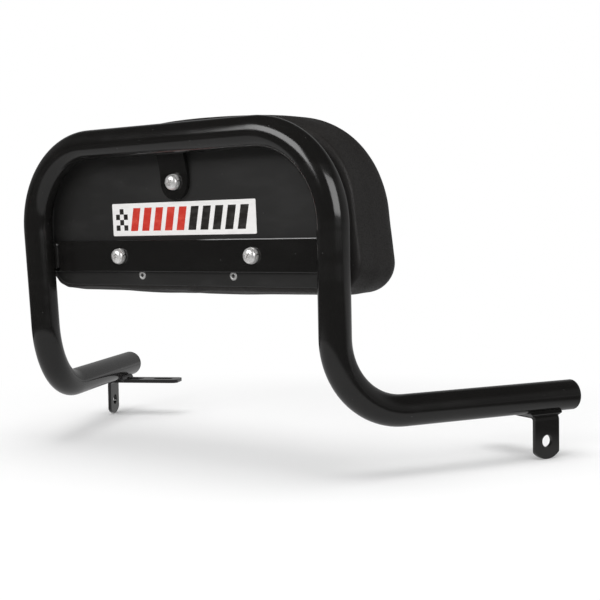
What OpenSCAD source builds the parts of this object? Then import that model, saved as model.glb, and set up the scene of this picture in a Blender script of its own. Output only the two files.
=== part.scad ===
// Scooter backrest: a bent tube hoop with two splayed mounting arms, a cross strip and a lug
// that carry a padded back on a pressed pan. X runs across the seat, +Y points forward to the
// rider, +Z is up. The origin lies level with the tips of the mounting tabs, in the middle of
// the whole in X and in Y. The modules work from the middle between the hoop's two corners,
// level with the arms, and in_place moves what they make.

/* [Tube frame] */
// Outside diameter of the tube
tube_d = 22.2; // [19:0.1:26]
// Wall of the tube
tube_wall = 1.6; // [1.2:0.1:2.5]
// Distance between the tube centres at the foot of the hoop
foot_spacing = 278; // [250:1:310]
// Distance between the tube centres at the top of the hoop
top_spacing = 287; // [260:1:320]
// Height of the top tube's centre above the arms' centres
hoop_h = 191; // [180:1:220]
// Bend radius of the two top corners, at the tube's centre
top_bend_r = 63; // [50:1:75]
// Bend radius where the hoop turns into an arm, at the tube's centre
foot_bend_r = 54; // [45:1:65]
// Angle by which the hoop leans back from upright
lean = 2.5; // [0:0.5:8]
// Angle by which each arm splays outwards, seen from above
splay = 26; // [15:1:30]
// Length of each arm, from the corner to the tube's end
arm_l = 198; // [195:1:230]

/* [End plugs] */
// Thickness of the plug's head
plug_head = 2.5; // [1.5:0.1:4]
// Length of the plug's stem inside the tube
plug_stem = 14; // [8:1:20]
// Gap between the plug's ribs and the tube's bore, on the radius
plug_gap = 0.05; // [0.02:0.01:0.2]

/* [Mounting brackets] */
// Width of the bracket's flat bar
bracket_w = 22; // [20:1:28]
// Thickness of the bracket's flat bar
bracket_t = 3; // [2:0.5:4]
// Inner radius of the bracket's bend
bracket_bend_r = 2; // [1:0.5:4]
// Distance of the bracket's middle back from the tube's end
bracket_back = 28; // [20:1:45]
// Distance of the tab's outer face outwards from the arm's centre
tab_out = 8.5; // [7:0.5:12]
// Depth of the tab's tip below the arm's centre
tab_drop = 44; // [40:1:55]
// Depth of the tab's hole below the arm's centre
tab_hole_drop = 31; // [30:0.5:34]
// Diameter of the tab's hole
tab_hole_d = 9; // [8:0.5:11]
// Radius of the rounded tip of the tab
tab_tip_r = 14.5; // [14:0.5:20]
// Reach of the slotted plate inwards from the arm's centre
plate_in = 58; // [57:1:70]
// Width of the plate's slots
slot_w = 8; // [6:0.5:9]
// Length of the plate's slots, end to end
slot_l = 18; // [14:0.5:22]
// Distance of the first slot's middle inwards from the arm's centre
slot_at = 14; // [13:0.5:16]
// Distance between the middles of the two slots
slot_pitch = 28; // [26:0.5:30]
// Radius of the plate's corners
plate_corner_r = 5; // [3:0.5:8]

/* [Strip and lug] */
// Width of the cross strip
strip_w = 24; // [20:1:30]
// Thickness of the cross strip and of the lug
strip_t = 3; // [2:0.5:4]
// Rise of the strip's middle above the cushion's lower edge
strip_up = 26.5; // [25:0.5:32]
// Length that the strip runs past each tube's centre
strip_over = 3; // [1:0.5:6]
// Edge radius of the rolled flat bar
bar_edge_r = 0.8; // [0.3:0.1:1.2]
// Width of the upper lug
lug_w = 26; // [22:1:30]
// Sideways place of the upper lug's middle
lug_x = -5.5; // [-10:0.5:10]
// Drop of the lug's screw below the top tube's centre
lug_drop = 31; // [28:0.5:34]
// Angle of the lug's upper part, back from the pan
lug_kick = 12; // [8:1:16]
// Radius of the weld beads
weld_r = 3.2; // [2.6:0.1:4]

/* [Cushion outline, pan and board] */
// Half the width of the cushion's back at its lower corners
back_half_w = 147; // [140:1:160]
// Height of the cushion's back
back_h = 122.5; // [116:0.5:130]
// Rise of the cushion's back above the top tube's centre
back_over = 11; // [8:0.5:16]
// Radius of the lower corners
low_corner_r = 31; // [24:1:36]
// Radius of the top corners
top_corner_r = 58; // [50:1:66]
// Radius of the arched top edge
crown_r = 700; // [500:10:1500]
// Angle by which the sides draw in towards the top
side_lean = 5; // [2:0.5:7]
// Sheet thickness of the pan
pan_t = 1.5; // [1:0.1:2]
// Width of the cover that shows all round the pan
pan_inset = 4; // [3:0.5:8]
// Radius of the pan's rolled edge
pan_edge_r = 1.2; // [0.8:0.1:1.4]
// Thickness of the plywood board
board_t = 6; // [5:0.5:9]

/* [Cushion] */
// Depth of the cushion from the pan's back to its side of the front edge
pad_d = 60; // [50:1:75]
// Swell of the cushion's sides beyond its back
pad_swell = 4; // [2:0.5:6]
// Radius of the cushion's back edge
back_edge_r = 5; // [3:0.5:8]
// Rounding of the cushion's front edge
pad_edge_r = 19; // [14:1:24]
// Crown of the cushion's front face
pad_crown = 5; // [2:0.5:8]
// Thickness of the cover
cover_t = 1.2; // [0.8:0.1:1.6]
// Reach of the cover that is turned in behind the board, from the cushion's outline
turn_in = 16; // [13:0.5:17]
// Gap between the soft parts
soft_gap = 0.2; // [0.1:0.1:0.4]

/* [Screws, nuts and rivets] */
// Distance between the two lower screws
screw_spacing = 129; // [110:1:150]
// Diameter of the screws
screw_d = 6; // [5:0.5:8]
// Length of the screws under the head
screw_l = 20; // [18:1:25]
// Diameter of the screws' heads
head_d = 12; // [10:0.5:14]
// Height of the screws' heads
head_h = 4.6; // [3.5:0.1:5]
// Thickness of the spring washers
washer_t = 1.6; // [1.2:0.1:2]
// Outside diameter of the spring washers
washer_d = 11.8; // [10:0.1:13]
// Clearance of the screw in its holes, on the diameter
screw_clear = 0.6; // [0.4:0.1:1]
// Diameter of the tee nuts' flanges
tee_flange_d = 17; // [14:0.5:20]
// Distance between the two rivets
rivet_spacing = 89; // [70:1:110]
// Drop of the rivets below the strip's lower edge
rivet_drop = 2.6; // [2:0.1:4]
// Shank diameter of the rivets
rivet_d = 4.4; // [4:0.1:5]

/* [Label] */
// Length of the label
label_l = 140; // [100:1:150]
// Gap between the label and the lug above it
label_top_gap = 1.3; // [0.5:0.1:4]
// Gap between the strip and the label
label_gap = 3.2; // [1:0.1:5]
// Sideways place of the label's middle
label_x = -2.5; // [-5:0.5:5]
// Thickness of the label
label_t = 0.25; // [0.15:0.05:0.5]

/* [Hidden] */
$fn = 64;
// Overshoot of cutting shapes
cut = 1;
// Hair's breadth between a weld and the tube, and the seat of a flat bar on the tube
hair = 0.02;
seat = 0.05;
// A bend is drawn this much thinner, and laps into the straights beside it
bend_draw = 0.03;
bend_lap = 0.5;
// Rise of the plug's domed face and the radius of its edge
plug_dome = 0.7;
plug_rim = 0.8;

tube_r = tube_d / 2;
bore_r = tube_r - tube_wall;

// Corners of the tube's centre line, from the right arm's end to the left arm's end
foot = [foot_spacing / 2, 0, 0];
crown = [top_spacing / 2, -hoop_h * tan(lean), hoop_h];
arm_dir = [sin(splay), cos(splay), 0];
hoop_v = hoop_h / cos(lean);
function flip(p) = [-p[0], p[1], p[2]];
tube_points = [foot + arm_dir * arm_l, foot, crown, flip(crown), flip(foot),
    flip(foot + arm_dir * arm_l)];
tube_bends = [0, foot_bend_r, top_bend_r, top_bend_r, foot_bend_r, 0];

// Depths behind each other on the leaning hoop, measured forward from the tubes' centres
strip_back = tube_r + seat;
pan_back = strip_back + strip_t;
pan_front = pan_back + pan_t;
board_back = pan_front + cover_t;
board_front = board_back + board_t;
board_fit = back_edge_r * 0.4 + cover_t + soft_gap;
cushion_front = pan_back + pad_d;
washer_back = strip_back - washer_t;
screw_tip = washer_back + screw_l;
back_top_v = hoop_v + back_over;
back_bottom_v = back_top_v - back_h;
strip_v = back_bottom_v + strip_up;
rivet_v = strip_v - strip_w / 2 - rivet_drop;
lug_screw_v = hoop_v - lug_drop;
bracket_at = arm_l - bracket_back;
screw_sites = [[-screw_spacing / 2, strip_v], [screw_spacing / 2, strip_v], [lug_x, lug_screw_v]];
rivet_sites = [[-rivet_spacing / 2, rivet_v], [rivet_spacing / 2, rivet_v]];
tee_barrel_d = screw_d + 2;
tee_flange_t = 1.2;
tee_bore_d = screw_d + 0.2;
tee_prong = [2.6, 0.8, 4];
rivet_head_d = rivet_d + 2.2;
rivet_head_t = 0.9;
pocket_clear = 1;

// Furthest points to the back and to the front, which set the origin
rear_y = crown[1] - tube_r;
plate_front_y = (bracket_at + bracket_w / 2 - plate_corner_r) * cos(splay)
    + (plate_in - plate_corner_r) * sin(splay) + plate_corner_r;
plug_front_y = (arm_l + plug_head - plug_dome - plug_rim) * cos(splay)
    + (tube_r - plug_rim) * sin(splay) + plug_rim;
middle_y = (rear_y + max(plate_front_y, plug_front_y)) / 2;

function unit(v) = v / norm(v);
function bend_angle(u, v) = acos(u * v);
// Length that a bend takes off the straight before and after its corner
function bend_trim(i) = tube_bends[i] == 0 ? 0
    : tube_bends[i] * tan(bend_angle(unit(tube_points[i] - tube_points[i - 1]),
        unit(tube_points[i + 1] - tube_points[i])) / 2);
// Half the distance between the legs' centres at a height along the hoop
function leg_x(v) = foot[0] + (crown[0] - foot[0]) * v / hoop_v;

// Places its children so that their +Z runs along direction z, and +X along direction x
module face(origin, x, z) {
    y = cross(z, x);
    multmatrix([[x[0], y[0], z[0], origin[0]], [x[1], y[1], z[1], origin[1]],
        [x[2], y[2], z[2], origin[2]], [0, 0, 0, 1]]) children();
}

// The bent tube's solid for one radius, run past its two ends by extra
module tube_body(r, extra) {
    last = len(tube_points) - 1;
    for (i = [0:last - 1]) {
        u = unit(tube_points[i + 1] - tube_points[i]);
        before = i == 0 ? -extra : bend_trim(i);
        after = i == last - 1 ? -extra : bend_trim(i + 1);
        side = unit(cross(u, abs(u[2]) > 0.5 ? [0, 1, 0] : [0, 0, 1]));
        face(tube_points[i] + u * before, side, u)
            cylinder(r = r, h = norm(tube_points[i + 1] - tube_points[i]) - before - after);
    }
    for (i = [1:last - 1]) {
        u = unit(tube_points[i] - tube_points[i - 1]);
        v = unit(tube_points[i + 1] - tube_points[i]);
        w = unit(v - u * (u * v));
        centre = tube_points[i] - u * bend_trim(i) + w * tube_bends[i];
        lap = asin(bend_lap / tube_bends[i]);
        face(centre, -w, cross(u, w)) rotate([0, 0, -lap])
            rotate_extrude(angle = bend_angle(u, v) + 2 * lap)
                translate([tube_bends[i], 0]) circle(r - bend_draw);
    }
}

// The leaning hoop's own frame: X across, Y forward from the tubes' centres, Z up along the hoop
module leaned() {
    rotate([lean, 0, 0]) children();
}

// The right arm's own frame: X outwards, Y along the arm from the corner, Z up
module on_arm() {
    translate(foot) rotate([0, 0, -splay]) children();
}

module left_of() {
    mirror([1, 0, 0]) children();
}

// Moves the whole so that the origin lies at the tabs' tips, in the middle
module in_place() {
    translate([0, -middle_y, tab_drop]) children();
}

module frame_tube() {
    color("#161616") difference() {
        tube_body(tube_r, 0);
        tube_body(bore_r, cut);
    }
}

// Ribbed insert that closes the tube's end, with a low dome and a moulding nub
module end_plug() {
    stem_r = bore_r - 1.2;
    rib_r = bore_r - plug_gap;
    rib_h = 1.6;
    nub_r = 1.4;
    color("#1b1b1c") on_arm() translate([0, arm_l, 0]) rotate([-90, 0, 0]) rotate_extrude() {
        polygon(concat([[0, 0]], [for (a = [0:22.5:90])
            [tube_r - plug_rim * (1 - cos(a)), plug_head - plug_dome - plug_rim * (1 - sin(a))]],
            [[tube_r * 0.6, plug_head - 0.2], [nub_r, plug_head], [nub_r, plug_head + 0.5],
            [0, plug_head + 0.5]]));
        square([tube_r, plug_head - plug_dome - plug_rim]);
        translate([0, -plug_stem]) square([stem_r, plug_stem]);
        for (z = [2:4:plug_stem - rib_h])
            polygon([[stem_r - 0.1, -z - rib_h], [stem_r, -z - rib_h], [rib_r, -z], [stem_r - 0.1, -z]]);
    }
}

// One weld bead: a round bar with ball ends along X, from x0 to x1
module bead(x0, x1) {
    translate([x0, 0, 0]) rotate([0, 90, 0]) cylinder(r = weld_r, h = x1 - x0);
    for (x = [x0, x1]) translate([x, 0, 0]) sphere(weld_r);
}

// L-shaped bracket of flat bar: a slotted plate under the arm and a tab bent down outside it
module bracket() {
    plate_top = -tube_r - seat;
    bend_out = bracket_bend_r + bracket_t;
    bend_x = tab_out - bend_out;
    tip_rise = tab_tip_r - sqrt(pow(tab_tip_r, 2) - pow(bracket_w / 2, 2));
    color("#171717") on_arm() translate([0, bracket_at, 0]) difference() {
        union() {
            translate([0, 0, plate_top - bracket_t]) linear_extrude(bracket_t) {
                translate([-plate_in + plate_corner_r, -bracket_w / 2])
                    square([plate_in - plate_corner_r + bend_x, bracket_w]);
                for (side = [-1, 1])
                    translate([-plate_in + plate_corner_r, side * (bracket_w / 2 - plate_corner_r)])
                        circle(plate_corner_r);
                translate([-plate_in, -bracket_w / 2 + plate_corner_r])
                    square([plate_corner_r, bracket_w - 2 * plate_corner_r]);
            }
            translate([bend_x, bracket_w / 2, plate_top - bend_out]) rotate([90, 0, 0])
                quarter_ring(bracket_bend_r, bend_out, bracket_w);
            translate([tab_out - bracket_t, 0, 0]) rotate([90, 0, 90]) linear_extrude(bracket_t)
                tab_outline(plate_top - bend_out, tip_rise);
            bracket_weld(plate_top);
        }
        translate([0, -2 * bracket_w, 0]) rotate([-90, 0, 0])
            cylinder(r = tube_r + hair, h = 4 * bracket_w);
        translate([0, 0, -tab_hole_drop]) rotate([0, 90, 0])
            cylinder(d = tab_hole_d, h = 2 * tab_out);
        for (i = [0, 1]) translate([-slot_at - i * slot_pitch, 0, plate_top - bracket_t - cut])
            slot_cut(bracket_t + 2 * cut);
    }
}

// Fillet welds all round the joint of plate and tube: sloped along the bar and across it
module bracket_weld(plate_top) {
    across = sqrt(pow(tube_r, 2) - pow(tube_r - weld_r * 0.7, 2));
    low = plate_top - bracket_t * 0.7;
    high = -tube_r + weld_r * 0.9;
    edge = bracket_w / 2;
    intersection() {
        translate([0, edge + 2 * weld_r, 0]) rotate([90, 0, 0]) linear_extrude(2 * edge + 4 * weld_r)
            polygon([[-across, low], [across, low], [across + weld_r * 0.5, plate_top],
                [across - 0.4, high], [-across + 0.4, high], [-across - weld_r * 0.5, plate_top]]);
        translate([-across - weld_r, 0, 0]) rotate([90, 0, 90])
            linear_extrude(2 * across + 2 * weld_r)
                polygon([[-edge - 0.4, low], [edge + 0.4, low], [edge + weld_r, plate_top + 0.4],
                    [edge + weld_r, high], [-edge - weld_r, high], [-edge - weld_r, plate_top + 0.4]]);
    }
}

// Face outline of the tab, below the bend at height top, with its shallow round tip
module tab_outline(top, tip_rise) {
    side_end = -tab_drop + tip_rise;
    translate([-bracket_w / 2, side_end]) square([bracket_w, top - side_end]);
    intersection() {
        translate([0, -tab_drop + tab_tip_r]) circle(tab_tip_r);
        translate([-bracket_w / 2, -tab_drop - cut]) square([bracket_w, tip_rise + 2 * cut]);
    }
}

// A quarter of a ring about Z, from +X to +Y
module quarter_ring(r0, r1, h) {
    rotate_extrude(angle = 90) translate([r0, 0]) square([r1 - r0, h]);
}

// A round-ended slot along X
module slot_cut(h) {
    half = (slot_l - slot_w) / 2;
    for (side = [-1, 1]) translate([side * half, 0, 0]) cylinder(d = slot_w, h = h);
    translate([-half, -slot_w / 2, 0]) cube([2 * half, slot_w, h]);
}

// Section of rolled flat bar with soft edges, width along Y and thickness along X
module bar_section(w, t) {
    for (x = [bar_edge_r, t - bar_edge_r], y = [-w / 2 + bar_edge_r, w / 2 - bar_edge_r])
        translate([x, y]) circle(bar_edge_r, $fn = 24);
    translate([bar_edge_r, -w / 2]) square([t - 2 * bar_edge_r, w]);
    translate([0, -w / 2 + bar_edge_r]) square([t, w - 2 * bar_edge_r]);
}

// Flat bar across the front of both legs, with a fillet weld at the inner side of each leg
module cross_strip() {
    half_l = leg_x(strip_v) + strip_over;
    bead_in = sqrt(pow(tube_r, 2) - pow(tube_r - weld_r * 0.7, 2));
    color("#191919") difference() {
        leaned() {
            translate([-half_l, strip_back, strip_v]) rotate([90, 0, 90])
                linear_extrude(2 * half_l) bar_section(strip_w, strip_t);
            intersection() {
                for (side = [-1, 1])
                    translate([side * (leg_x(strip_v) - bead_in), strip_back, strip_v])
                        rotate([0, 90, 0]) bead(-strip_w / 2 + weld_r, strip_w / 2 - weld_r);
                translate([-half_l, 0, strip_v - strip_w / 2])
                    cube([2 * half_l, strip_back + strip_t / 2, strip_w]);
            }
        }
        tube_body(tube_r + hair, cut);
        leaned() for (i = [0, 1]) screw_hole(screw_sites[i], strip_back - cut, strip_t + 2 * cut,
            screw_d + screw_clear);
    }
}

// A round hole along Y at a site of the leaning frame
module screw_hole(site, y0, h, d) {
    translate([site[0], y0, site[1]]) rotate([-90, 0, 0]) cylinder(d = d, h = h);
}

// Lug of flat bar from the top tube down to the pan, kicked back at its upper part
module upper_lug() {
    end_r = lug_w / 2;
    flat_v = lug_screw_v + head_d / 2;
    top_v = hoop_v - tube_r * 0.3;
    back = strip_back;
    kick = (top_v - flat_v) * tan(lug_kick);
    bead_y = back - (hoop_v - tube_r - flat_v) * tan(lug_kick);
    color("#151515") difference() {
        leaned() {
            intersection() {
                translate([lug_x - end_r, 0, 0]) rotate([90, 0, 90]) linear_extrude(lug_w)
                    polygon([[back, lug_screw_v - end_r], [back, flat_v], [back - kick, top_v],
                        [back - kick + strip_t, top_v], [back + strip_t, flat_v],
                        [back + strip_t, lug_screw_v - end_r]]);
                translate([lug_x, -tube_r, lug_screw_v]) rotate([-90, 0, 0]) {
                    cylinder(r = end_r, h = 3 * tube_r);
                    translate([-end_r, -hoop_v, 0]) cube([lug_w, hoop_v, 3 * tube_r]);
                }
            }
            translate([lug_x, bead_y - weld_r * 0.4, hoop_v - tube_r])
                bead(-end_r + weld_r + 1, end_r - weld_r - 1);
        }
        tube_body(tube_r + hair, cut);
        leaned() screw_hole(screw_sites[2], strip_back - cut, strip_t + 2 * cut,
            screw_d + screw_clear);
    }
}

// The outline shared by pan, board and cushion, as arcs that meet tangentially.
// The side line touches the lower and the top corner, and the crown arc closes the top.
low_centre = [back_half_w - low_corner_r, back_bottom_v + low_corner_r];
crown_v = back_top_v - crown_r;
side_reach = low_centre[0] * cos(side_lean) + (low_centre[1] - crown_v) * sin(side_lean)
    + low_corner_r - top_corner_r;
crown_turn = side_lean + acos(side_reach / (crown_r - top_corner_r));
top_centre = [(crown_r - top_corner_r) * cos(crown_turn),
    crown_v + (crown_r - top_corner_r) * sin(crown_turn)];

function arc(c, r, a0, a1, n) = [for (i = [0:n]) let (a = a0 + (a1 - a0) * i / n)
    [c[0] + r * cos(a), c[1] + r * sin(a)]];
// Points of the outline grown by g, anticlockwise seen with +X right and the hoop's height up
function outline(g) = let (
    right = concat(arc(low_centre, low_corner_r + g, -90, side_lean, 9),
        arc(top_centre, top_corner_r + g, side_lean, crown_turn, 9)),
    top = arc([0, crown_v], crown_r + g, crown_turn, 180 - crown_turn, 9),
    n = len(right))
    concat(right, [for (i = [1:len(top) - 2]) top[i]],
        [for (i = [n - 1:-1:0]) [-right[i][0], right[i][1]]]);

// Solid through rings of the outline: each ring is [depth, growth, size about the middle]
module loft(rings) {
    mid_v = (back_bottom_v + back_top_v) / 2;
    loops = [for (k = rings) let (s = len(k) > 2 ? k[2] : 1)
        [for (p = outline(k[1])) [p[0] * s, k[0], mid_v + (p[1] - mid_v) * s]]];
    n = len(loops[0]);
    m = len(loops);
    leaned() polyhedron([for (l = loops) for (p = l) p],
        concat([[for (i = [n - 1:-1:0]) i]], [[for (i = [0:n - 1]) (m - 1) * n + i]],
            [for (k = [0:m - 2], i = [0:n - 1]) let (j = (i + 1) % n)
                [k * n + i, k * n + j, (k + 1) * n + j, (k + 1) * n + i]]), convexity = 6);
}

// Flat slab of the outline between two depths
module slab(y0, y1, g) {
    leaned() translate([0, y1, 0]) rotate([90, 0, 0]) linear_extrude(y1 - y0) polygon(outline(g));
}

// Rings that round an edge of radius r, from its flat at depth y out to its side at growth g
function rolled_edge(y, r, g) = [for (a = [90:-30:0]) [y + r * (1 - sin(a)), g - r * (1 - cos(a))]];

// Pressed back plate with a rolled edge, which closes the cushion's back
module back_pan() {
    color("#2b2b2b") difference() {
        loft(concat(rolled_edge(pan_back, pan_edge_r, -pan_inset), [[pan_front, -pan_inset]]));
        leaned() {
            for (s = screw_sites) screw_hole(s, pan_back - cut, pan_t + 2 * cut,
                screw_d + screw_clear + 0.4);
            for (s = rivet_sites) screw_hole(s, pan_back - cut, pan_t + 2 * cut, rivet_d + 0.2);
        }
    }
}

// Rings of the cushion's skin: its rounded back edge, the swell of its sides, the front edge and
// the crown
pad_rings = concat(rolled_edge(pan_front, back_edge_r, 0),
    [[pan_front + 9, pad_swell * 0.45], [pan_front + 16, pad_swell * 0.85],
        [pan_front + 24, pad_swell]],
    [for (a = [0:15:75]) [cushion_front - pad_edge_r * (1 - sin(a)), pad_swell - pad_edge_r * (1 - cos(a))]],
    [for (k = [0:4]) [cushion_front + pad_crown * (1 - pow(1 - k / 4, 2)),
        pad_swell - pad_edge_r, 1 - 0.15 * k]]);

// The same rings drawn in by t on every side, from depth y0 on
function inner_rings(t, y0) = concat([[y0, -back_edge_r * 0.4 - t]],
    [for (k = pad_rings) if (k[0] > pan_front + back_edge_r - 0.1 && k[0] > y0)
        [k[0] - t * max(0, min(1, (k[0] - cushion_front + pad_edge_r) / pad_edge_r)), k[1] - t,
            len(k) > 2 ? k[2] : 1]]);

module base_board() {
    color("#a98052") difference() {
        slab(board_back, board_front, -board_fit);
        leaned() {
            for (s = screw_sites) {
                screw_hole(s, board_back - cut, board_t + 2 * cut, tee_barrel_d + 0.2);
                prongs(s, 0.1);
            }
            for (s = rivet_sites) screw_hole(s, board_back - cut, board_t + 2 * cut, rivet_d + 0.2);
        }
    }
}

module pad_foam() {
    color("#d9cf9a") difference() {
        loft(inner_rings(cover_t + soft_gap, board_front + soft_gap));
        leaned() {
            for (s = screw_sites) screw_hole(s, board_front - cut, screw_tip - board_front + cut
                + pocket_clear, tee_flange_d + 2 * pocket_clear);
            for (s = rivet_sites) screw_hole(s, board_front - cut, rivet_head_t + cut + pocket_clear,
                rivet_head_d + 2 * pocket_clear);
        }
    }
}

// Leatherette skin, turned in behind the board
module pad_cover() {
    color("#201e1d") difference() {
        loft(pad_rings);
        loft(inner_rings(cover_t, pan_front + cover_t));
        slab(pan_front - cut, pan_front + cover_t + cut, -turn_in);
        leaned() for (s = rivet_sites) screw_hole(s, pan_front - cut, cover_t + 2 * cut,
            rivet_d + 0.4);
    }
}

// Pan head screw with a cross recess, head towards the back
module screw(site) {
    recess_w = 1.5;
    recess_l = 6;
    recess_h = 2.6;
    lip = 0.6;
    dome_r = (pow(head_d / 2 - lip, 2) + pow(head_h - 1.4, 2)) / (2 * (head_h - 1.4));
    color("#d9dadd") leaned() translate([site[0], washer_back, site[1]]) rotate([90, 0, 0])
        difference() {
            union() {
                cylinder(d = head_d, h = 1.4);
                intersection() {
                    translate([0, 0, head_h - dome_r]) sphere(dome_r);
                    cylinder(d = head_d - 2 * lip, h = head_h + 1);
                }
                translate([0, 0, -screw_l]) cylinder(d = screw_d, h = screw_l);
            }
            for (a = [0, 90]) rotate([0, 0, a + 30])
                translate([-recess_l / 2, -recess_w / 2, head_h - recess_h])
                    cube([recess_l, recess_w, recess_h + cut]);
        }
}

// Split spring washer under a screw head
module washer(site) {
    split = 1;
    color("#b9bbbf") leaned() translate([site[0], washer_back, site[1]]) rotate([-90, 0, 0])
        difference() {
            translate([0, 0, hair]) cylinder(d = washer_d, h = washer_t - hair);
            translate([0, 0, -cut]) cylinder(d = screw_d + 0.3, h = washer_t + 2 * cut);
            translate([0, -split / 2, -cut]) rotate([25, 0, 0])
                cube([washer_d, split, washer_t + 3 * cut]);
        }
}

// The four prongs of a tee nut, grown by g, which bite into the board from its front
module prongs(site, g) {
    ring_r = tee_flange_d / 2 - tee_prong[1] - 0.6;
    for (a = [45:90:315]) translate([site[0], board_front, site[1]]) rotate([90, a, 0])
        translate([ring_r - g, -tee_prong[0] / 2 - g, -hair])
            cube([tee_prong[1] + 2 * g, tee_prong[0] + 2 * g, tee_prong[2] + g + hair]);
}

module tee_nut(site) {
    color("#c2c4c8") leaned() {
        difference() {
            translate([site[0], board_front + tee_flange_t, site[1]]) rotate([90, 0, 0]) {
                cylinder(d = tee_flange_d, h = tee_flange_t);
                cylinder(d = tee_barrel_d, h = tee_flange_t + board_t - 0.5);
            }
            screw_hole(site, board_back - cut, board_t + tee_flange_t + 2 * cut, tee_bore_d);
        }
        prongs(site, 0);
    }
}

// Hollow rivet through pan, turned-in cover and board, with its tail rolled over
module rivet(site) {
    hole_r = rivet_d / 2 - 0.7;
    head_r = rivet_head_d / 2;
    grip = board_front - pan_back;
    color("#9a9c9f") leaned() translate([site[0], pan_back, site[1]]) rotate([90, 0, 0])
        rotate_extrude() {
            polygon([[hole_r, rivet_head_t * 0.8], [hole_r + 0.5, rivet_head_t],
                [head_r - 0.3, rivet_head_t * 0.6], [head_r, hair], [rivet_d / 2, hair],
                [rivet_d / 2, -grip - hair], [head_r - 0.4, -grip - hair],
                [head_r - 0.6, -grip - rivet_head_t * 0.7], [hole_r + 0.4, -grip - rivet_head_t],
                [hole_r, -grip - rivet_head_t * 0.6]]);
        }
}

module label() {
    corner_r = 1;
    low_v = strip_v + strip_w / 2 + label_gap;
    label_h = lug_screw_v - lug_w / 2 - label_top_gap - low_v;
    label_v = low_v + label_h / 2;
    color("white") leaned() translate([label_x, pan_back - hair, label_v]) rotate([90, 0, 0])
        linear_extrude(label_t) {
            square([label_l - 2 * corner_r, label_h], center = true);
            square([label_l, label_h - 2 * corner_r], center = true);
            for (x = [-1, 1], y = [-1, 1])
                translate([x * (label_l / 2 - corner_r), y * (label_h / 2 - corner_r)])
                    circle(corner_r, $fn = 24);
        }
}

in_place() frame_tube();
in_place() left_of() end_plug();  // left_end_plug
in_place() end_plug();  // right_end_plug
in_place() left_of() bracket();  // left_bracket
in_place() bracket();  // right_bracket
in_place() cross_strip();
in_place() upper_lug();
in_place() back_pan();
in_place() base_board();
in_place() pad_foam();
in_place() pad_cover();
in_place() screw(screw_sites[0]);  // left_screw
in_place() screw(screw_sites[1]);  // right_screw
in_place() screw(screw_sites[2]);  // upper_screw
in_place() washer(screw_sites[0]);  // left_washer
in_place() washer(screw_sites[1]);  // right_washer
in_place() washer(screw_sites[2]);  // upper_washer
in_place() tee_nut(screw_sites[0]);  // left_tee_nut
in_place() tee_nut(screw_sites[1]);  // right_tee_nut
in_place() tee_nut(screw_sites[2]);  // upper_tee_nut
in_place() rivet(rivet_sites[0]);  // left_rivet
in_place() rivet(rivet_sites[1]);  // right_rivet
in_place() label();
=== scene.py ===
import math
import bmesh
import bpy
import numpy as np
from mathutils import Matrix, Vector, noise
from mathutils.kdtree import KDTree


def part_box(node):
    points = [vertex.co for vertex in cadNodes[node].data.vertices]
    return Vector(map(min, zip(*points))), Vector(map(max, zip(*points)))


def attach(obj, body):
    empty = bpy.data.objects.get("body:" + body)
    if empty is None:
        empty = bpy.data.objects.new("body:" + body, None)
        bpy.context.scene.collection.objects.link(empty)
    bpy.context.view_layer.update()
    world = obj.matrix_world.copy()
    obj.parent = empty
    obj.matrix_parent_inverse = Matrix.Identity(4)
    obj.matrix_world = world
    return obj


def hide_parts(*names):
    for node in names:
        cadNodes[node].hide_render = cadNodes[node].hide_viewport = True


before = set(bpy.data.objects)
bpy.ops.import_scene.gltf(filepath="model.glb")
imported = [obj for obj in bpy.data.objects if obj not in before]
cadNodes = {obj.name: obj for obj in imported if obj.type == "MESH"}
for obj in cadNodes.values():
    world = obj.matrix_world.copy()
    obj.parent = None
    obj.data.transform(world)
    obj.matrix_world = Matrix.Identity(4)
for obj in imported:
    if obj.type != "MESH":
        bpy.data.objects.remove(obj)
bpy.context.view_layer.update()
mm = 0.001
print("stage: packed model loaded,", len(cadNodes), "nodes")

# The tube frame, in millimetres and degrees
hoop = {
    "tubeD": 22.2,
    "wall": 1.6,
    "footSpacing": 278,
    "topSpacing": 287,
    "height": 191,
    "topBendR": 63,
    "footBendR": 54,
    "lean": 2.5,
    "splay": 26,
    "armLength": 198,
    "tabDrop": 44,
    "around": 56,
    "bendSteps": 26,
    "barDepth": 11.15,  # outer face of the strip and the lug, forward of the tubes' centres
}

leanTurn = math.radians(hoop["lean"])
splayTurn = math.radians(hoop["splay"])
tubeR = hoop["tubeD"] / 2
hoopTop = hoop["height"] / math.cos(leanTurn)  # height of the top tube along the leaning hoop
crownY = -hoop["height"] * math.tan(leanTurn)
# the move that sets the whole on its origin, read off the tube's own box
place = Vector((0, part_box("frame_tube")[0].y - (crownY - tubeR) * mm, hoop["tabDrop"] * mm))


def hoopPoint(x, depth, v):
    # a point of the leaning hoop: across, forward of the tubes' centres, up along the hoop
    y = depth * math.cos(leanTurn) - v * math.sin(leanTurn)
    z = depth * math.sin(leanTurn) + v * math.cos(leanTurn)
    return Vector((x, y, z)) * mm + place


def armPoint(side, out, along, up):
    # a point of an arm: outwards, along from the corner, up; side is 1 for right and -1 for left
    x = hoop["footSpacing"] / 2 + along * math.sin(splayTurn) + out * math.cos(splayTurn)
    y = along * math.cos(splayTurn) - out * math.sin(splayTurn)
    return Vector((side * x, y, up)) * mm + place


def legX(v):
    # half the distance between the legs' centres at a height along the hoop
    foot, top = hoop["footSpacing"] / 2, hoop["topSpacing"] / 2
    return foot + (top - foot) * v / hoopTop


def feed(tree, socket, value):
    # sets a socket, or joins it to the socket that is given
    if isinstance(value, bpy.types.NodeSocket):
        tree.links.new(value, socket)
    else:
        socket.default_value = value


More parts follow.
